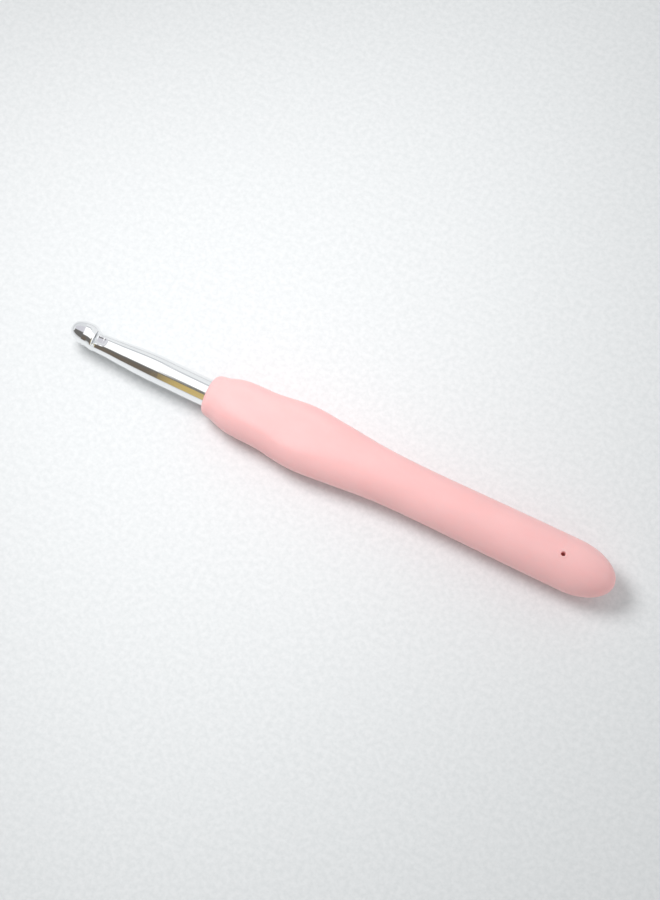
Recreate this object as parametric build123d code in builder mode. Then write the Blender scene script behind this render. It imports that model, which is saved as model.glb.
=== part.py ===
"""Soft-handled crochet hook: an aluminium hook held in a moulded core under a rubber grip.

Millimetres. X runs along the tool, head towards -X and tail towards +X. Z is up, with the
thumb rest on top. The origin is below the middle of the tool, on the surface it lies on.
Lengths in the tables and names below are distances from the tip of the head.
"""

import os
from math import cos, radians, sin

from build123d import *

os.makedirs("parts", exist_ok=True)

# Whole tool
overall_length = 137.2
axis_height = 6.1
tip_x = -overall_length / 2

# Hook
shank_radius = 3.25
head_radius = 2.76
head_length = 3.9
tang_start = 35.9
tang_radius = 2.9
tang_end = 72.0
tang_chamfer = 0.5
tang_groove_at = 62.0
tang_groove_width = 3.0
tang_groove_radius = 2.4

# Back of the head, neck and long taper: radius at each distance
body_stations = (
    (head_length, head_radius),
    (5.0, 2.8),
    (5.6, 2.77),
    (6.1, 2.64),
    (6.6, 2.42),
    (7.1, 2.32),
    (8.0, 2.335),
    (9.5, 2.43),
    (11.9, 2.61),
    (14.3, 2.8),
    (16.65, 2.97),
    (19.0, 3.12),
    (21.5, 3.215),
    (24.0, shank_radius),
)

# Throat, a round-bottomed scoop behind the lip: floor height above the axis at each distance
throat_stations = (
    (6.1, 1.25),
    (6.4, 1.5),
    (6.9, 1.7),
    (7.6, 1.83),
    (8.6, 1.95),
    (9.2, 2.06),
    (9.7, 2.4),
    (10.1, 2.8),
)
throat_half_width = 3.4
throat_side_rise = 3.24
throat_top = 4.2
lip_lean = 6.0

# Core
core_start = 38.5
core_end = 131.2
core_radius = 4.2
core_end_radius = 3.0
core_start_radius = 0.5
core_grooves = (50.0, 78.0, 106.0)
core_groove_width = 4.0
core_groove_depth = 0.6

# Grip
grip_start = tang_start
tail_start = 126.5
tail_radius = 6.1
front_edge_radius = 1.3
round_corner = 0.5523
pin_hole_at = 124.05
pin_hole_radius = 0.5
pin_hole_reach = 15.0

# Grip outline at each distance: half width, height above and below the axis, flatness
grip_stations = (
    (grip_start, 4.8, 4.7, 4.7, 0.0),
    (38.1, 5.2, 5.15, 5.15, 0.02),
    (40.6, 5.85, 5.65, 5.65, 0.05),
    (43.0, 6.35, 5.95, 6.2, 0.08),
    (47.5, 6.62, 6.0, 6.35, 0.13),
    (52.0, 6.9, 5.95, 6.4, 0.17),
    (56.5, 7.5, 5.9, 6.4, 0.2),
    (61.0, 7.78, 5.9, 6.4, 0.2),
    (65.5, 7.5, 6.0, 6.3, 0.17),
    (70.0, 7.0, 6.1, 6.25, 0.11),
    (77.0, 6.3, 6.1, 6.2, 0.03),
    (85.0, 5.92, 5.95, 6.18, 0.0),
    (96.0, 5.89, 5.95, 6.18, 0.0),
    (112.0, 6.07, 6.05, 6.18, 0.0),
    (tail_start, tail_radius, tail_radius, tail_radius, 0.0),
)
tail_dome_angles = (24.0, 45.0, 62.0, 76.0)


def across(distance, lean=0.0):
    """Plane across the tool at a distance from the tip, its top leaning towards the tail."""
    tilt = radians(lean)
    return Plane(
        origin=(tip_x + distance, 0, axis_height),
        x_dir=(0, 1, 0),
        z_dir=(cos(tilt), 0, -sin(tilt)),
    )


def lengthwise():
    """Plane along the axis from the tip, its Y direction straight up."""
    return Plane(origin=(tip_x, 0, axis_height), x_dir=(1, 0, 0), z_dir=(0, -1, 0))


def throat_outline(distance, floor):
    """Outline across the throat: round bottomed, and open beyond the head at the sides and top."""
    rim = floor + throat_side_rise
    with BuildSketch(across(distance, lip_lean)) as outline:
        with BuildLine():
            Bezier(
                (-throat_half_width, rim),
                (0, floor - throat_side_rise),
                (throat_half_width, rim),
            )
            Polyline(
                (throat_half_width, rim),
                (throat_half_width, rim + throat_top),
                (-throat_half_width, rim + throat_top),
                (-throat_half_width, rim),
            )
        make_face()
    return outline.sketch.face()


def grip_outline(distance, half_width, above, below, flatness):
    """Closed outline across the handle. Flatness squares the top and bottom, 0 is an ellipse."""
    reach = (round_corner + flatness) * half_width
    with BuildSketch(across(distance)) as outline:
        with BuildLine():
            for side in (1, -1):
                for height in (above, -below):
                    Bezier(
                        (side * half_width, 0),
                        (side * half_width, round_corner * height),
                        (side * reach, height),
                        (0, height),
                    )
        make_face()
    return outline.sketch.face()


def tail_outline(angle):
    """Outline across the rounded tail, where angle goes from 0 at its start to 90 at its end."""
    tail_length = overall_length - tail_start
    distance = tail_start + tail_length * sin(radians(angle))
    radius = tail_radius * cos(radians(angle))
    return grip_outline(distance, radius, radius, radius, 0.0)


# Hook: rounded head, narrow neck, taper, round shank and the tang hidden in the core
axis_of_tool = Axis((0, 0, axis_height), (1, 0, 0))

with BuildPart() as hook:
    with BuildSketch(lengthwise()):
        with BuildLine():
            EllipticalCenterArc((head_length, 0), head_length, head_radius, 90, arc_size=90)
            Spline(*body_stations, tangents=((1, 0), (1, 0)))
            Polyline(
                body_stations[-1],
                (tang_start, shank_radius),
                (tang_start, tang_radius),
                (tang_groove_at, tang_radius),
                (tang_groove_at, tang_groove_radius),
                (tang_groove_at + tang_groove_width, tang_groove_radius),
                (tang_groove_at + tang_groove_width, tang_radius),
                (tang_end - tang_chamfer, tang_radius),
                (tang_end, tang_radius - tang_chamfer),
                (tang_end, 0),
                (0, 0),
            )
        make_face()
    revolve(axis=axis_of_tool)
    loft([throat_outline(*station) for station in throat_stations], mode=Mode.SUBTRACT)
hook.part.label = "hook"

# Core: stiff moulded sleeve round the tang, with grooves that the grip is moulded into
with BuildPart() as handle_core:
    with BuildSketch(across(core_start)):
        Circle(core_radius)
    extrude(amount=core_end - core_start)
    fillet(handle_core.edges().sort_by(Axis.X)[-1], core_end_radius)
    fillet(handle_core.edges().sort_by(Axis.X)[0], core_start_radius)
    for groove_at in core_grooves:
        with BuildSketch(across(groove_at)):
            Circle(2 * core_radius)
            Circle(core_radius - core_groove_depth, mode=Mode.SUBTRACT)
        extrude(amount=core_groove_width, mode=Mode.SUBTRACT)
    add(hook.part, mode=Mode.SUBTRACT)
handle_core.part.label = "handle_core"

# Grip: rubber moulded over the core, with a flat thumb rest, a flat underside and a pin hole
with BuildPart() as grip:
    outlines = [grip_outline(*station) for station in grip_stations]
    outlines += [tail_outline(angle) for angle in tail_dome_angles]
    loft(outlines + [Vertex(tip_x + overall_length, 0, axis_height)])
    fillet(grip.faces().sort_by(Axis.X)[0].edges(), front_edge_radius)
    split(bisect_by=Plane.XY, keep=Keep.TOP)
    add(handle_core.part, mode=Mode.SUBTRACT)
    add(hook.part, mode=Mode.SUBTRACT)
    with BuildSketch(Plane.XY):
        with Locations((tip_x + pin_hole_at, 0)):
            Circle(pin_hole_radius)
    extrude(amount=pin_hole_reach, mode=Mode.SUBTRACT)
grip.part.label = "grip"

for piece in (hook, handle_core, grip):
    export_step(piece.part, f"parts/{piece.part.label}.step")
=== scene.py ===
"""Looks of the soft-handled crochet hook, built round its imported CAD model.

Blender works in metres. The shapes here are written in millimetres in the tool's own terms and
scaled by MM when a mesh is made: 'distance' runs along the axis from the tip of the head to the
tail, 'side' runs across it towards +Y, and 'height' runs up from it.
"""

import math

import bmesh
import bpy
import numpy as np
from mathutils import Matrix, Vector


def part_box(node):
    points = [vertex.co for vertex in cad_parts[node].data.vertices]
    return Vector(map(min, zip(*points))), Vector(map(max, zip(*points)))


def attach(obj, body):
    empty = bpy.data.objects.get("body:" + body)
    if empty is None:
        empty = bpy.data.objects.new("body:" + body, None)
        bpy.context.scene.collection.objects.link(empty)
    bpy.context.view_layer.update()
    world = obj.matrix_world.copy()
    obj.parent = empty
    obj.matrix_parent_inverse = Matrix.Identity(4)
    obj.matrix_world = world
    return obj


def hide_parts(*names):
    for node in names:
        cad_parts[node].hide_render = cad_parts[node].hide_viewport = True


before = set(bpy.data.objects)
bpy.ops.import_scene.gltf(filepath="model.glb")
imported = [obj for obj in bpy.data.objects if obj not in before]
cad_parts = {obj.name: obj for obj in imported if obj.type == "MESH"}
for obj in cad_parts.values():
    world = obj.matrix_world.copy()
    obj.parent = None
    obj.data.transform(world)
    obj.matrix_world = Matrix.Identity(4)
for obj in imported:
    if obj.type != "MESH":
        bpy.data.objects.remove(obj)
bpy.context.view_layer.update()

MM = 0.001

# Where the tool lies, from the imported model
hook_low, hook_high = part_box("hook")
grip_low, grip_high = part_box("grip")
core_low, core_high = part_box("handle_core")
TIP_X = hook_low.x
AXIS_Z = (hook_low.z + hook_high.z) / 2
TAIL_END = (grip_high.x - TIP_X) / MM
GRIP_START = (grip_low.x - TIP_X) / MM
CORE_START = (core_low.x - TIP_X) / MM
CORE_END = (core_high.x - TIP_X) / MM
CORE_RADIUS = (core_high.z - core_low.z) / MM / 2
SHANK_RADIUS = (hook_high.z - hook_low.z) / MM / 2
TANG_END = (hook_high.x - TIP_X) / MM


# ---------------------------------------------------------------------------- small mathematics


def smooth_step(start, end, value):
    """0 before start, 1 after end, and an S-curve between them."""
    share = min(max((value - start) / (end - start), 0.0), 1.0)
    return share * share * (3 - 2 * share)


def smooth_min(first, second, blend):
    """The smaller of two numbers, rounded where they are nearly the same."""
    share = min(max(0.5 + 0.5 * (second - first) / blend, 0.0), 1.0)
    return second * (1 - share) + first * share - blend * share * (1 - share)


def smooth_curve(points):
    """A function that passes smoothly (natural cubic spline) through (distance, value) points."""
    at = np.array([point[0] for point in points], float)
    value = np.array([point[1] for point in points], float)
    step = np.diff(at)
    slope = np.diff(value) / step
    count = len(points)
    matrix = np.eye(count)
    right_side = np.zeros(count)
    for i in range(1, count - 1):
        matrix[i, i - 1 : i + 2] = step[i - 1], 2 * (step[i - 1] + step[i]), step[i]
        right_side[i] = 6 * (slope[i] - slope[i - 1])
    bend = np.linalg.solve(matrix, right_side)

    def curve(distance):
        i = min(max(int(np.searchsorted(at, distance)) - 1, 0), count - 2)
        before = distance - at[i]
        after = at[i + 1] - distance
        cubic = (bend[i] * after**3 + bend[i + 1] * before**3) / (6 * step[i])
        left = (value[i] / step[i] - bend[i] * step[i] / 6) * after
        right = (value[i + 1] / step[i] - bend[i + 1] * step[i] / 6) * before
        return float(cubic + left + right)

    return curve


def steps(start, end, count):
    """Count values evenly spaced after start, up to and including end."""
    return [start + (end - start) * (i + 1) / count for i in range(count)]


def place(distance, side, height):
    """A point of the tool in the shared frame, in metres."""
    return Vector((TIP_X + distance * MM, side * MM, AXIS_Z + height * MM))


def round_point(distance, radius, angle):
    """A point on a round section. The angle is 0 at the top and grows towards -Y."""
    return place(distance, -radius * math.sin(angle), radius * math.cos(angle))


# ---------------------------------------------------------------------------- mesh making


def add_ring(mesh, points):
    """A closed ring of new vertices."""
    return [mesh.verts.new(point) for point in points]


def add_face(mesh, vertices):
    """A face through four vertices, or a triangle or nothing where some are the same."""
    corners = list(dict.fromkeys(vertices))
    if len(corners) > 2:
        mesh.faces.new(corners)


def bridge(mesh, first, second, skip=()):
    """Quads between two rings of the same length, leaving out the columns in skip."""
    count = len(first)
    for i in range(count):
        if i in skip:
            continue
        j = (i + 1) % count
        add_face(mesh, (first[i], second[i], second[j], first[j]))


def close_ring(mesh, ring, point):
    """Triangles from a ring to one new vertex."""
    apex = mesh.verts.new(point)
    for i in range(len(ring)):
        mesh.faces.new((ring[i], ring[(i + 1) % len(ring)], apex))


def finish_piece(mesh, name, material, replaced, sharp_angle):
    """Makes the object, shades it smooth and hands it to the frame."""
    bmesh.ops.recalc_face_normals(mesh, faces=mesh.faces)
    data = bpy.data.meshes.new(name)
    mesh.to_mesh(data)
    mesh.free()
    data.polygons.foreach_set("use_smooth", [True] * len(data.polygons))
    data.set_sharp_from_angle(angle=math.radians(sharp_angle))
    data.materials.append(material)
    piece = bpy.data.objects.new(name, data)
    bpy.context.scene.collection.objects.link(piece)
    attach(piece, "root")
    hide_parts(replaced)
    return piece


# ---------------------------------------------------------------------------- materials


def new_material(name, values):
    """A node material with these constants on its Principled shader."""
    material = bpy.data.materials.new(name)
    material.use_nodes = True
    shader = material.node_tree.nodes["Principled BSDF"]
    for socket, value in values.items():
        shader.inputs[socket].default_value = value
    return material, material.node_tree, shader


def stretched_noise(tree, stretch, scale, detail, roughness=0.5):
    """Noise over the object, with its place multiplied by stretch along each axis."""
    place_node = tree.nodes.new("ShaderNodeTexCoord")
    mapping = tree.nodes.new("ShaderNodeMapping")
    mapping.inputs["Scale"].default_value = stretch
    noise = tree.nodes.new("ShaderNodeTexNoise")
    noise.inputs["Scale"].default_value = scale
    noise.inputs["Detail"].default_value = detail
    noise.inputs["Roughness"].default_value = roughness
    tree.links.new(place_node.outputs["Object"], mapping.inputs["Vector"])
    tree.links.new(mapping.outputs["Vector"], noise.inputs["Vector"])
    return noise.outputs["Fac"]


def blend_colours(tree, factor, low_colour, high_colour, low=0.35, high=0.65):
    """A colour that goes from low_colour to high_colour as the factor goes from low to high."""
    ramp = tree.nodes.new("ShaderNodeValToRGB")
    ramp.color_ramp.elements[0].position = low
    ramp.color_ramp.elements[0].color = (*low_colour, 1)
    ramp.color_ramp.elements[1].position = high
    ramp.color_ramp.elements[1].color = (*high_colour, 1)
    tree.links.new(factor, ramp.inputs["Fac"])
    return ramp.outputs["Color"]


def spread(tree, factor, low, high):
    """A number that goes from low to high as a noise factor goes from 0.3 to 0.7."""
    remap = tree.nodes.new("ShaderNodeMapRange")
    remap.inputs["From Min"].default_value = 0.3
    remap.inputs["From Max"].default_value = 0.7
    remap.inputs["To Min"].default_value = low
    remap.inputs["To Max"].default_value = high
    tree.links.new(factor, remap.inputs["Value"])
    return remap.outputs["Result"]


def add_bump(tree, shader, height, strength, depth, under=None):
    """Bump from a height, over another bump if one is given. The depth is in metres."""
    bump = tree.nodes.new("ShaderNodeBump")
    bump.inputs["Strength"].default_value = strength
    bump.inputs["Distance"].default_value = depth
    tree.links.new(height, bump.inputs["Height"])
    if under is not None:
        tree.links.new(under, bump.inputs["Normal"])
    tree.links.new(bump.outputs["Normal"], shader.inputs["Normal"])
    return bump.outputs["Normal"]


def rubber_material():
    """Satin pink rubber: cloudy colour, fine moulded grain and a faint bloom."""
    material, tree, shader = new_material(
        "pink_rubber_satin",
        {
            "Specular IOR Level": 0.35,
            "Subsurface Weight": 0.25,
            "Subsurface Radius": (1.0, 0.35, 0.3),
            "Subsurface Scale": 0.002,
            "Sheen Weight": 0.1,
            "Sheen Roughness": 0.5,
            "Sheen Tint": (1.0, 0.9, 0.9, 1.0),
        },
    )
    clouds = stretched_noise(tree, (0.5, 1, 1), 160, 3)
    colour = blend_colours(tree, clouds, (0.955, 0.525, 0.52), (0.985, 0.555, 0.55))
    tree.links.new(colour, shader.inputs["Base Color"])
    handling = stretched_noise(tree, (0.4, 1, 1), 260, 4)
    tree.links.new(spread(tree, handling, 0.46, 0.58), shader.inputs["Roughness"])
    waves = stretched_noise(tree, (0.6, 1, 1), 420, 2)
    soft_bump = add_bump(tree, shader, waves, 0.25, 0.00004)
    grain = stretched_noise(tree, (1, 1, 1), 6500, 4)
    add_bump(tree, shader, grain, 0.3, 0.000012, under=soft_bump)
    return material


def metal_material():
    """Bright polished aluminium with faint lengthwise polishing marks and handling haze."""
    material, tree, shader = new_material(
        "polished_aluminium_bright", {"Metallic": 1.0, "Specular IOR Level": 0.5}
    )
    tint = stretched_noise(tree, (0.5, 1, 1), 300, 3)
    colour = blend_colours(tree, tint, (0.85, 0.86, 0.87), (0.89, 0.895, 0.9))
    tree.links.new(colour, shader.inputs["Base Color"])
    streaks = stretched_noise(tree, (0.04, 1, 1), 9000, 3)
    tree.links.new(spread(tree, streaks, 0.05, 0.1), shader.inputs["Roughness"])
    haze = stretched_noise(tree, (0.3, 1, 1), 1400, 4)
    add_bump(tree, shader, haze, 0.06, 0.000006)
    return material


def core_material():
    """Hard moulded plastic, seen only at the bottom of the pin hole."""
    material, tree, shader = new_material("core_plastic_moulded", {"Specular IOR Level": 0.4})
    mottle = stretched_noise(tree, (1, 1, 1), 900, 4)
    colour = blend_colours(tree, mottle, (0.5, 0.14, 0.125), (0.6, 0.19, 0.17))
    tree.links.new(colour, shader.inputs["Base Color"])
    tree.links.new(spread(tree, mottle, 0.5, 0.65), shader.inputs["Roughness"])
    add_bump(tree, shader, mottle, 0.2, 0.00003)
    return material


# ---------------------------------------------------------------------------- hook

# Head: a nose a little blunter than an ellipse (which has a roundness of 2). Behind it, the radius
# of its back, the neck and the taper at each distance.
HEAD_RADIUS = 2.8
HEAD_LENGTH = 4.9
HEAD_ROUNDNESS = 2.35
TAPER_END = 24.0
BODY_STATIONS = (
    (HEAD_LENGTH, HEAD_RADIUS),
    (5.6, 2.79),
    (6.1, 2.7),
    (6.6, 2.49),
    (7.1, 2.33),
    (8.0, 2.335),
    (9.5, 2.43),
    (11.9, 2.61),
    (14.3, 2.8),
    (16.65, 2.97),
    (19.0, 3.12),
    (21.5, 3.215),
    (TAPER_END, SHANK_RADIUS),
)
BODY_RADIUS = smooth_curve(BODY_STATIONS)

# Tang, hidden in the core, with a groove round it
TANG_RADIUS = 2.9
TANG_CHAMFER = 0.5
TANG_GROOVE_AT = 62.0
TANG_GROOVE_WIDTH = 3.0
TANG_GROOVE_RADIUS = 2.4

# Throat: the scoop's floor above the axis, how fast it rises to the sides, and the lip over it.
# The lip's top edge is rounded by drawing it in, fully up to LIP_TUCK_START of the way to the
# throat's side and then less and less. THROAT_EDGE softens the throat's own rim.
LIP_AT = 6.3
THROAT_END = 10.1
LIP_LEAN = math.tan(math.radians(8))
LIP_LEAN_FADE = 3.0
LIP_EDGE = 0.1
LIP_TUCK_START = 0.7
THROAT_STATIONS = (
    (LIP_AT, 1.06),
    (6.55, 1.4),
    (6.95, 1.7),
    (7.6, 1.83),
    (8.6, 1.95),
    (9.2, 2.06),
    (9.7, 2.4),
    (THROAT_END, 2.8),
)
THROAT_FLOOR = smooth_curve(THROAT_STATIONS)
THROAT_SIDE_RISE = 0.24
THROAT_EDGE = 0.14

# Sideways set of the head and neck, towards +Y, as on a slightly bent tool
SWAY_END = 23.0
SWAY_STATIONS = (
    (0, 0.42),
    (4.0, 0.44),
    (5.4, 0.3),
    (6.9, -0.24),
    (8.2, -0.28),
    (14, -0.16),
    (17.5, -0.08),
    (20.5, -0.025),
    (SWAY_END, 0),
)
SWAY = smooth_curve(SWAY_STATIONS)

# Columns of the hook's mesh, on each side of the top: those inside the throat and the others
THROAT_COLUMNS = 18
OTHER_COLUMNS = 34
EVEN_FOLD = math.pi * THROAT_COLUMNS / (THROAT_COLUMNS + OTHER_COLUMNS)
LEAST_FOLD = 0.05

# Rows of the hook's mesh. The throat's rows lie closer together the nearer the lip they are.
DOME_ROWS = 26
BROW_ROWS = 26
LIP_EDGE_ROWS = 5
LIP_ROWS = 10
THROAT_ROWS = 84
THROAT_ROW_CROWDING = 1.35
TAPER_ROWS = 46
HOOK_SHARP_ANGLE = 38


def hook_radius(distance):
    """Radius of the head, neck, taper and shank."""
    if distance <= HEAD_LENGTH:
        ahead = 1 - distance / HEAD_LENGTH
        return HEAD_RADIUS * max(1 - ahead**HEAD_ROUNDNESS, 0) ** (1 / HEAD_ROUNDNESS)
    return BODY_RADIUS(distance) if distance < TAPER_END else SHANK_RADIUS


def throat_angle(distance):
    """Angle from the top at which the throat's floor comes out through the round surface."""
    radius = hook_radius(distance)
    rise = THROAT_SIDE_RISE
    root = math.sqrt(1 + 4 * rise * (THROAT_FLOOR(distance) + rise * radius**2))
    height = (root - 1) / (2 * rise)
    return math.acos(height / radius) if height < radius else 0.0


def fold_angle(distance):
    """Angle of the mesh column that follows the edge of the throat."""
    at_lip = throat_angle(LIP_AT)
    if distance <= LIP_AT:
        return EVEN_FOLD + (at_lip - EVEN_FOLD) * smooth_step(HEAD_LENGTH, LIP_AT, distance)
    if distance <= THROAT_END:
        return max(throat_angle(distance), LEAST_FOLD)
    return LEAST_FOLD + (EVEN_FOLD - LEAST_FOLD) * smooth_step(THROAT_END, TAPER_END, distance)


def column_angles(fold):
    """Angles of all the columns round the hook, even on each side of the fold."""
    inside = [fold * i / THROAT_COLUMNS for i in range(THROAT_COLUMNS)]
    outside = [
        fold + (math.pi - fold) * i / OTHER_COLUMNS for i in range(OTHER_COLUMNS + 1)
    ]
    half = inside + outside
    return half + [-angle for angle in reversed(half[1:-1])]


def lean_shift(distance, height):
    """How far the lip's lean carries a point towards the tail."""
    raised = max(height - THROAT_FLOOR(LIP_AT), 0.0)
    if distance <= LIP_AT:
        share = smooth_step(HEAD_LENGTH, LIP_AT, distance)
    else:
        share = 1 - smooth_step(LIP_AT, LIP_AT + LIP_LEAN_FADE, distance)
    return LIP_LEAN * raised * share


def sway(distance):
    """Sideways set of the section at a distance."""
    return SWAY(distance) if distance < SWAY_END else 0.0


def leaning_point(distance, side, height):
    """A point of the head, moved by the lip's lean."""
    return place(distance + lean_shift(distance, height), side + sway(distance), height)


def head_ring(distance, tuck=0.0):
    """Points round the head before the lip. Tuck draws in the top, for the lip's rounded edge."""
    fold = fold_angle(distance)
    points = []
    for angle in column_angles(fold):
        inside = 1 - smooth_step(LIP_TUCK_START * fold, fold, abs(angle))
        radius = hook_radius(distance) - tuck * inside
        points.append(
            leaning_point(distance, -radius * math.sin(angle), radius * math.cos(angle))
        )
    return points


def throat_ring(distance):
    """Points round the hook where the throat's floor cuts its top."""
    points = []
    for angle in column_angles(fold_angle(distance)):
        radius = hook_radius(distance)
        side = -radius * math.sin(angle)
        height = radius * math.cos(angle)
        if abs(angle) < math.pi / 2:
            floor = THROAT_FLOOR(distance) + THROAT_SIDE_RISE * side**2
            height = smooth_min(height, floor, THROAT_EDGE)
        points.append(leaning_point(distance, side, height))
    return points


def plain_ring(distance, radius):
    """Points round the hook behind the throat."""
    points = []
    for angle in column_angles(fold_angle(distance)):
        side = sway(distance) - radius * math.sin(angle)
        points.append(place(distance, side, radius * math.cos(angle)))
    return points


def make_lip(mesh, brow, root):
    """The wall under the lip, from the edge of the head down to the first ring of the throat."""
    count = len(brow)
    inside = [i % count for i in range(-THROAT_COLUMNS, THROAT_COLUMNS + 1)]
    above = [brow[i] for i in inside]
    for row in range(1, LIP_ROWS + 1):
        below = [above[0]]
        for i in inside[1:-1]:
            if row == LIP_ROWS:
                below.append(root[i])
            else:
                below.append(mesh.verts.new(brow[i].co.lerp(root[i].co, row / LIP_ROWS)))
        below.append(above[-1])
        for corners in zip(above, below, below[1:], above[1:]):
            add_face(mesh, corners)
        above = below


def make_hook(material):
    """The metal: head, lip, scooped throat, taper, shank and the hidden tang."""
    mesh = bmesh.new()
    dome = [HEAD_LENGTH * (1 - math.cos(a)) for a in steps(0, math.pi / 2, DOME_ROWS)]
    head = dome + steps(HEAD_LENGTH, LIP_AT - LIP_EDGE, BROW_ROWS)
    rings = [add_ring(mesh, head_ring(distance)) for distance in head]
    for turn in steps(0, math.pi / 2, LIP_EDGE_ROWS):
        distance = LIP_AT - LIP_EDGE * (1 - math.sin(turn))
        rings.append(add_ring(mesh, head_ring(distance, LIP_EDGE * (1 - math.cos(turn)))))
    for first, second in zip(rings, rings[1:]):
        bridge(mesh, first, second)
    close_ring(mesh, rings[0], place(0, sway(0), 0))

    brow = rings[-1]
    root_points = throat_ring(LIP_AT)
    count = len(brow)
    shared = [i for i in range(count) if THROAT_COLUMNS <= i <= count - THROAT_COLUMNS]
    root = [
        brow[i] if i in shared else mesh.verts.new(root_points[i]) for i in range(count)
    ]
    make_lip(mesh, brow, root)

    behind = [root]
    for share in steps(0, 1, THROAT_ROWS):
        distance = LIP_AT + (THROAT_END - LIP_AT) * share**THROAT_ROW_CROWDING
        behind.append(add_ring(mesh, throat_ring(distance)))
    for distance in steps(THROAT_END, TAPER_END, TAPER_ROWS) + [GRIP_START]:
        behind.append(add_ring(mesh, plain_ring(distance, hook_radius(distance))))
    groove_end = TANG_GROOVE_AT + TANG_GROOVE_WIDTH
    for distance, radius in (
        (GRIP_START, TANG_RADIUS),
        (TANG_GROOVE_AT, TANG_RADIUS),
        (TANG_GROOVE_AT, TANG_GROOVE_RADIUS),
        (groove_end, TANG_GROOVE_RADIUS),
        (groove_end, TANG_RADIUS),
        (TANG_END - TANG_CHAMFER, TANG_RADIUS),
        (TANG_END, TANG_RADIUS - TANG_CHAMFER),
    ):
        behind.append(add_ring(mesh, plain_ring(distance, radius)))
    for first, second in zip(behind, behind[1:]):
        bridge(mesh, first, second)
    close_ring(mesh, behind[-1], place(TANG_END, 0, 0))
    return finish_piece(
        mesh, "hook_metal", material, "hook", HOOK_SHARP_ANGLE
    )


# ---------------------------------------------------------------------------- grip

# At each distance: half width, crown (the height of the rounded section above the axis), height
# of the flat that cuts it on top, and keel (the depth of the rounded section below the axis)
GRIP_STATIONS = (
    (38.1, 5.05, 5.0, 5.7, 5.0),
    (39.3, 5.36, 5.3, 5.73, 5.3),
    (40.6, 5.82, 5.8, 5.8, 5.75),
    (42.4, 6.28, 6.33, 5.88, 6.18),
    (44.5, 6.53, 6.62, 5.93, 6.35),
    (47.5, 6.62, 6.74, 5.94, 6.42),
    (51.7, 6.82, 6.86, 5.93, 6.45),
    (54.5, 7.22, 7.06, 5.92, 6.47),
    (57.5, 7.64, 7.23, 5.92, 6.48),
    (60.5, 7.78, 7.0, 5.93, 6.48),
    (63.5, 7.64, 6.55, 5.98, 6.45),
    (67.0, 7.3, 6.25, 6.15, 6.36),
    (70.5, 6.97, 6.13, 6.45, 6.2),
    (77.0, 6.3, 6.08, 6.9, 6.03),
    (85.0, 5.92, 6.0, 7.0, 5.96),
    (96.0, 5.89, 5.95, 7.0, 5.95),
    (112.0, 6.07, 6.05, 7.1, 6.07),
    (126.5, 6.12, 6.1, 7.1, 6.1),
)
HALF_WIDTH, CROWN, FLAT, KEEL = (
    smooth_curve([(row[0], row[i]) for row in GRIP_STATIONS]) for i in (1, 2, 3, 4)
)
FLAT_BLEND = 0.9
UNDERSIDE_BLEND = 0.3
UNDERSIDE = AXIS_Z / MM
SIDE_BAND = 0.1
NOSE_END = GRIP_STATIONS[0][0]
NOSE_ROOT = SHANK_RADIUS + 0.02
NOSE_ROUNDNESS = 2.2
TAIL_START = GRIP_STATIONS[-1][0]
TAIL_LAST_TURN = 0.985 * math.pi / 2
BORE_RADIUS = TANG_RADIUS
CORE_END_RADIUS = 3.0

# Columns and rows of the grip's mesh
GRIP_COLUMNS = 128
NOSE_ROWS = 16
BODY_ROWS = 230
TAIL_ROWS = 40
CORE_END_ROWS = 8
CORE_ROWS = 170
GRIP_SHARP_ANGLE = 40

# Pin hole: its reach counts columns and rows to each side, and its rim gives radius and lift
# above the skin, from the outside in. CORNER_TURN is where the square round it starts, in turns.
HOLE_AT = 124.05
HOLE_RADIUS = 0.5
HOLE_REACH = 4
HOLE_RIM = (
    (1.05, 0.01),
    (0.9, 0.08),
    (0.74, 0.1),
    (0.6, 0.03),
    (0.52, -0.08),
    (HOLE_RADIUS, -0.22),
)
CORNER_TURN = 0.375


def skin_radius(distance, angle):
    """Distance from the axis to the outside of the handle, between the nose and the tail."""
    across, up = math.sin(angle), math.cos(angle)
    if up >= 0:
        crown, flat, blend = CROWN(distance), FLAT(distance), FLAT_BLEND
    else:
        crown, flat, blend = KEEL(distance), UNDERSIDE, UNDERSIDE_BLEND
    radius = 1 / math.hypot(across / HALF_WIDTH(distance), up / crown)
    if abs(up) < SIDE_BAND:
        # nearly level with the axis, where no flat can reach
        return radius
    return smooth_min(radius, flat / abs(up), blend)


def skin(distance, angle):
    """A point on the outside of the grip, its rounded nose and tail included."""
    if distance < NOSE_END:
        back = (NOSE_END - distance) / (NOSE_END - GRIP_START)
        swell = (1 - back**NOSE_ROUNDNESS) ** (1 / NOSE_ROUNDNESS)
        radius = NOSE_ROOT + (skin_radius(NOSE_END, angle) - NOSE_ROOT) * swell
    elif distance > TAIL_START:
        out = (distance - TAIL_START) / (TAIL_END - TAIL_START)
        radius = skin_radius(TAIL_START, angle) * math.sqrt(max(1 - out * out, 0))
    else:
        radius = skin_radius(distance, angle)
    return round_point(distance, radius, angle)


def columns():
    """Angles of the columns round the grip."""
    return [math.tau * i / GRIP_COLUMNS for i in range(GRIP_COLUMNS)]


def cavity_rings():
    """Distance and radius of the rings inside the grip, from its deep end out to its mouth."""
    inner = CORE_RADIUS - CORE_END_RADIUS
    rings = [
        (
            CORE_END - CORE_END_RADIUS * (1 - math.cos(turn)),
            inner + CORE_END_RADIUS * math.sin(turn),
        )
        for turn in steps(0, math.pi / 2, CORE_END_ROWS)
    ]
    straight = steps(CORE_END - CORE_END_RADIUS, CORE_START, CORE_ROWS)
    rings += [(distance, CORE_RADIUS) for distance in straight]
    return rings + [(CORE_START, BORE_RADIUS), (GRIP_START, BORE_RADIUS)]


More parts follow.
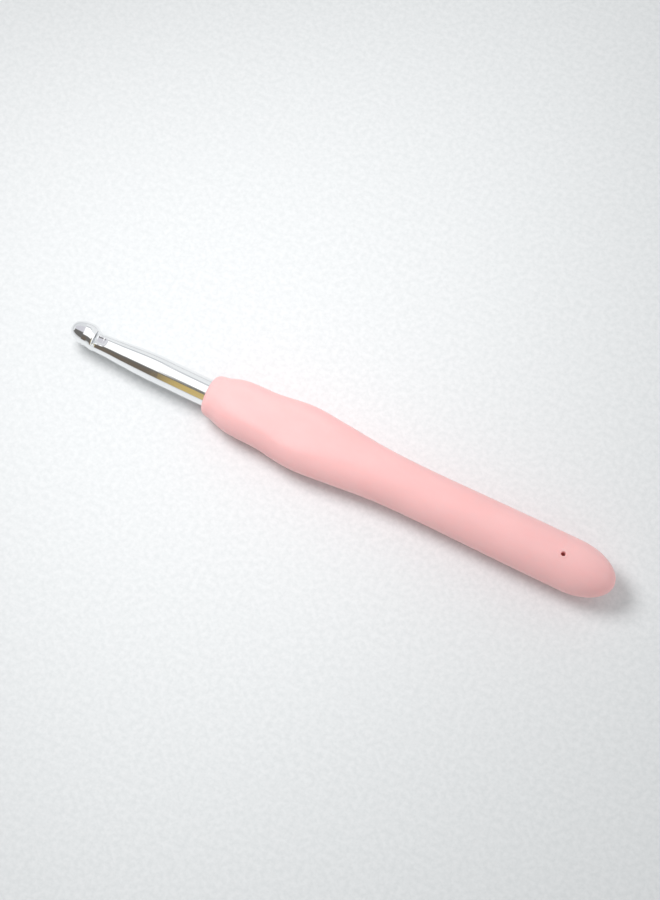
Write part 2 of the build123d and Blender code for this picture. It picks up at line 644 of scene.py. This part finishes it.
def surface_height(distance, side, up, section):
    """Height of the top (up is 1) or underside (up is -1) of a section at a place across it."""
    angle = 0.0 if up > 0 else math.pi
    for _ in range(5):
        radius = section(distance, angle)
        turn = math.asin(-side / radius)
        angle = turn if up > 0 else math.pi - turn
    return section(distance, angle) * math.cos(angle)


def block_border(rings, row, row_step, column):
    """The square of vertices round a place in a grid of rings, with row_step towards the tail."""
    reach = HOLE_REACH
    sides = []
    sides += [(-reach, i) for i in range(-reach, reach)]
    sides += [(i, reach) for i in range(-reach, reach)]
    sides += [(reach, -i) for i in range(-reach, reach)]
    sides += [(-i, -reach) for i in range(-reach, reach)]
    return [rings[row + row_step * a][(column + b) % GRIP_COLUMNS] for a, b in sides]


def hole_circle(mesh, count, radius, lift, up, section):
    """A ring round the pin hole, lifted off the section's surface."""
    points = []
    for i in range(count):
        turn = math.tau * (i / count + CORNER_TURN)
        distance = HOLE_AT + radius * math.cos(turn)
        side = up * radius * math.sin(turn)
        height = surface_height(distance, side, up, section) + up * lift
        points.append(place(distance, side, height))
    return add_ring(mesh, points)


def stitch_hole(mesh, border, circles):
    """Fills from a square border in to the first circle, and on through the others."""
    middle = [a.co.lerp(b.co, 0.5) for a, b in zip(border, circles[0])]
    loops = [border, add_ring(mesh, middle)] + circles
    for first, second in zip(loops, loops[1:]):
        bridge(mesh, first, second)
    return circles[-1]


def nearest_row(distances, wanted):
    """Index of the distance nearest the wanted one."""
    return min(range(len(distances)), key=lambda i: abs(distances[i] - wanted))


def bridge_round_hole(mesh, rings, row):
    """Bridges all the rings, leaving out the two squares where the pin hole comes through."""
    half = GRIP_COLUMNS // 2
    reach = range(-HOLE_REACH, HOLE_REACH)
    opened = {(c + k) % GRIP_COLUMNS for c in (0, half) for k in reach}
    for i, (first, second) in enumerate(zip(rings, rings[1:])):
        near = row - HOLE_REACH <= i < row + HOLE_REACH
        bridge(mesh, first, second, opened if near else ())


def make_grip(material):
    """The rubber: one closed shell round the core, with a pin hole through top and bottom."""
    mesh = bmesh.new()
    angles = columns()
    cavity = cavity_rings()
    inside = [add_ring(mesh, [round_point(d, r, a) for a in angles]) for d, r in cavity]
    nose_turns = steps(0, math.pi / 2, NOSE_ROWS)
    nose = [GRIP_START + (NOSE_END - GRIP_START) * (1 - math.cos(a)) for a in nose_turns]
    body = steps(NOSE_END, TAIL_START, BODY_ROWS)
    tail_turns = steps(0, TAIL_LAST_TURN, TAIL_ROWS)
    tail = [TAIL_START + (TAIL_END - TAIL_START) * math.sin(a) for a in tail_turns]
    along = [GRIP_START] + nose + body + tail
    outside = [add_ring(mesh, [skin(d, a) for a in angles]) for d in along]

    cavity_row = nearest_row([ring[0] for ring in cavity], HOLE_AT)
    skin_row = nearest_row(along, HOLE_AT)
    bridge_round_hole(mesh, inside, cavity_row)
    bridge(mesh, inside[-1], outside[0])
    bridge_round_hole(mesh, outside, skin_row)
    close_ring(mesh, inside[0], place(CORE_END, 0, 0))
    close_ring(mesh, outside[-1], place(TAIL_END, 0, 0))

    for up, column in ((1, 0), (-1, GRIP_COLUMNS // 2)):
        border = block_border(outside, skin_row, 1, column)
        count = len(border)
        rim = [hole_circle(mesh, count, r, lift, up, skin_radius) for r, lift in HOLE_RIM]
        outer = stitch_hole(mesh, border, rim)
        border = block_border(inside, cavity_row, -1, column)
        mouth = hole_circle(mesh, count, HOLE_RADIUS, 0, up, lambda d, a: CORE_RADIUS)
        inner = stitch_hole(mesh, border, [mouth])
        bridge(mesh, outer, inner)
    return finish_piece(
        mesh, "grip_rubber", material, "grip", GRIP_SHARP_ANGLE
    )


# ---------------------------------------------------------------------------- core


def dress_core(material):
    """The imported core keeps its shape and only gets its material."""
    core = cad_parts["handle_core"]
    core.data.materials.clear()
    core.data.materials.append(material)


# ---------------------------------------------------------------------------- stage

CAMERA_AIM = (-0.0018, 0.00024, AXIS_Z)
CAMERA_AZIMUTH = 26.43
CAMERA_ELEVATION = 72.7
CAMERA_DISTANCE = 0.4
CAMERA_LENS = 70.56
CAMERA_CLIP = (0.01, 20)

BACKDROP = (0.44, 0.456, 0.462)
FLOOR_RADIUS = 3.0
FLOOR_COLUMNS = 96

# Painted shade on the floor: along X its colour falls to the share given below, from the end given
# below back to the start, so that the floor is darker beyond the head end
PAINTED_SHADE_START = -0.13
PAINTED_SHADE_END = 0.02
PAINTED_SHADE_SHARE = 0.8

# A round soft light that looks at the tool: place, width and power in watts
KEY_PLACE = (-0.105, 0.0125, 0.2)
KEY_WIDTH = 0.11
KEY_POWER = 0.385

# Fill light from all round: its level from straight above, and its gain towards each axis
FILL_COLOUR = (0.98, 1.0, 1.0)
FILL_LEVEL = 0.52
FILL_LEAN = (0.37, 0.1, 0.0)

# What polished metal sees around it: colours by angle from straight up towards -Y, in zones that
# each begin at a lean of the line of sight towards +X
WHITE = (1.3, 1.3, 1.3)
PALE = (0.93, 0.95, 0.96)
LILAC = (0.72, 0.71, 0.76)
MIST = (0.81, 0.83, 0.85)
DIM = (0.55, 0.57, 0.6)
DARK = (0.17, 0.165, 0.155)
BROWN = (0.18, 0.15, 0.12)
GOLDEN = (0.66, 0.49, 0.18)
OLIVE = (0.5, 0.48, 0.38)
TIP_BANDS = ((-40, MIST), (70, PALE))
FRONT_BANDS = ((-46, MIST), (-38, LILAC), (14, LILAC), (22, DARK), (78, DARK), (90, PALE))
TAPER_BANDS = (
    (-60, PALE),
    (-56, DIM),
    (-50, DIM),
    (-44, WHITE),
    (31, WHITE),
    (36, DARK),
    (60, BROWN),
)
SHANK_BANDS = (
    (-52, PALE),
    (-47, DIM),
    (-41, DIM),
    (-35, WHITE),
    (18, WHITE),
    (23, DARK),
    (37, DARK),
    (44, GOLDEN),
)
BACK_BANDS = ((-34, PALE), (-20, WHITE), (15, WHITE), (24, OLIVE), (62, OLIVE), (76, PALE))
TAIL_BANDS = ((-34, PALE), (-20, WHITE), (60, WHITE), (80, PALE))
ROOM_ZONES = (
    (-1.0, TIP_BANDS),
    (-0.93, FRONT_BANDS),
    (-0.425, TAPER_BANDS),
    (-0.24, SHANK_BANDS),
    (-0.195, BACK_BANDS),
    (0.02, TAIL_BANDS),
)
ZONE_BLEND = 0.007


def make_camera():
    """The camera, at the photograph's angle."""
    azimuth, elevation = math.radians(CAMERA_AZIMUTH), math.radians(CAMERA_ELEVATION)
    away = Vector(
        (
            math.sin(azimuth) * math.cos(elevation),
            -math.cos(azimuth) * math.cos(elevation),
            math.sin(elevation),
        )
    )
    data = bpy.data.cameras.new("camera")
    data.lens = CAMERA_LENS
    data.clip_start, data.clip_end = CAMERA_CLIP
    camera = bpy.data.objects.new("camera", data)
    camera.location = Vector(CAMERA_AIM) + away * CAMERA_DISTANCE
    camera.rotation_mode = "QUATERNION"
    camera.rotation_quaternion = away.to_track_quat("Z", "Y")
    bpy.context.scene.collection.objects.link(camera)
    bpy.context.scene.camera = camera


def painted_floor_shade(tree):
    """Painted shade: a share of brightness for the floor's colour, a little less beyond the head
    end.
    """
    place_node = tree.nodes.new("ShaderNodeTexCoord")
    split = tree.nodes.new("ShaderNodeSeparateXYZ")
    tree.links.new(place_node.outputs["Object"], split.inputs[0])
    shade_share = tree.nodes.new("ShaderNodeMapRange")
    shade_share.interpolation_type = "SMOOTHSTEP"
    shade_share.inputs["From Min"].default_value = PAINTED_SHADE_START
    shade_share.inputs["From Max"].default_value = PAINTED_SHADE_END
    shade_share.inputs["To Min"].default_value = PAINTED_SHADE_SHARE
    tree.links.new(split.outputs["X"], shade_share.inputs["Value"])
    return shade_share.outputs["Result"]


def make_floor():
    """A round pale sheet under the tool, with a faint fibrous grain and painted shade beyond the
    head end.
    """
    mesh = bmesh.new()
    turns = steps(0, math.tau, FLOOR_COLUMNS)
    edge = [FLOOR_RADIUS * Vector((math.cos(a), math.sin(a), 0)) for a in turns]
    mesh.faces.new(add_ring(mesh, edge))
    data = bpy.data.meshes.new("floor")
    mesh.to_mesh(data)
    mesh.free()
    material, tree, shader = new_material(
        "pale_felt", {"Specular IOR Level": 0.1, "Roughness": 0.95}
    )
    fibres = stretched_noise(tree, (1, 1, 1), 850, 4, 0.6)
    plain = blend_colours(tree, fibres, (0.785, 0.8, 0.81), (0.855, 0.865, 0.875))
    # painted shade: the felt's colour darkened beyond the head end
    shaded_felt = tree.nodes.new("ShaderNodeHueSaturation")
    tree.links.new(plain, shaded_felt.inputs["Color"])
    tree.links.new(painted_floor_shade(tree), shaded_felt.inputs["Value"])
    tree.links.new(shaded_felt.outputs["Color"], shader.inputs["Base Color"])
    add_bump(tree, shader, fibres, 0.25, 0.00012)
    data.materials.append(material)
    floor = bpy.data.objects.new("floor", data)
    bpy.context.scene.collection.objects.link(floor)


def make_ramp(tree, share, bands):
    """A colour ramp by angle, from the lowest angle of the room (0) to the highest (1)."""
    ramp = tree.nodes.new("ShaderNodeValToRGB")
    stops = ramp.color_ramp.elements
    stops.remove(stops[1])
    for i, (angle, colour) in enumerate(bands):
        stop = stops[0] if i == 0 else stops.new(0.5 + angle / 180)
        stop.position = 0.5 + angle / 180
        stop.color = (*colour, 1)
    tree.links.new(share, ramp.inputs["Fac"])
    return ramp.outputs["Color"]


def make_room():
    """Soft surroundings: what the metal reflects, a plain backdrop, and fill light."""
    world = bpy.data.worlds.new("room")
    bpy.context.scene.world = world
    world.use_nodes = True
    tree = world.node_tree
    tree.nodes.clear()

    def node(kind):
        return tree.nodes.new("ShaderNode" + kind)

    def maths(operation, first, second):
        made = node("Math")
        made.operation = operation
        for socket, value in zip(made.inputs, (first, second)):
            if isinstance(value, (int, float)):
                socket.default_value = value
            else:
                tree.links.new(value, socket)
        return made.outputs[0]

    direction = node("TexCoord").outputs["Generated"]
    split = node("SeparateXYZ")
    tree.links.new(direction, split.inputs[0])
    near = maths("MULTIPLY", split.outputs["Y"], -1)
    tilt = maths("ARCTAN2", near, split.outputs["Z"])
    share = maths("ADD", maths("DIVIDE", tilt, math.pi), 0.5)
    seen = make_ramp(tree, share, ROOM_ZONES[0][1])
    for start, bands in ROOM_ZONES[1:]:
        entry = node("MapRange")
        entry.inputs["From Min"].default_value = start - ZONE_BLEND
        entry.inputs["From Max"].default_value = start + ZONE_BLEND
        tree.links.new(split.outputs["X"], entry.inputs["Value"])
        mix = node("Mix")
        mix.data_type = "RGBA"
        tree.links.new(entry.outputs["Result"], mix.inputs["Factor"])
        tree.links.new(seen, mix.inputs["A"])
        tree.links.new(make_ramp(tree, share, bands), mix.inputs["B"])
        seen = mix.outputs["Result"]

    room = node("Background")
    tree.links.new(seen, room.inputs["Color"])
    fill = node("Background")
    fill.inputs["Color"].default_value = (*FILL_COLOUR, 1)
    lean = node("VectorMath")
    lean.operation = "DOT_PRODUCT"
    lean.inputs[1].default_value = FILL_LEAN
    tree.links.new(direction, lean.inputs[0])
    tree.links.new(maths("ADD", lean.outputs["Value"], FILL_LEVEL), fill.inputs["Strength"])
    path = node("LightPath")
    lit = node("MixShader")
    tree.links.new(path.outputs["Is Glossy Ray"], lit.inputs["Fac"])
    tree.links.new(fill.outputs["Background"], lit.inputs[1])
    tree.links.new(room.outputs["Background"], lit.inputs[2])
    backdrop = node("Background")
    backdrop.inputs["Color"].default_value = (*BACKDROP, 1)
    both = node("MixShader")
    tree.links.new(path.outputs["Is Camera Ray"], both.inputs["Fac"])
    tree.links.new(lit.outputs["Shader"], both.inputs[1])
    tree.links.new(backdrop.outputs["Background"], both.inputs[2])
    output = node("OutputWorld")
    tree.links.new(both.outputs["Shader"], output.inputs["Surface"])


def make_key_light():
    """The one lamp. It stays out of the reflections."""
    data = bpy.data.lights.new("key", "AREA")
    data.shape = "DISK"
    data.size = KEY_WIDTH
    data.energy = KEY_POWER
    light = bpy.data.objects.new("key", data)
    light.location = KEY_PLACE
    light.rotation_mode = "QUATERNION"
    light.rotation_quaternion = Vector(KEY_PLACE).to_track_quat("Z", "Y")
    light.visible_glossy = False
    bpy.context.scene.collection.objects.link(light)


bpy.context.scene.view_settings.view_transform = "Standard"
make_camera()
make_floor()
make_room()
make_key_light()
make_hook(metal_material())
make_grip(rubber_material())
dress_core(core_material())
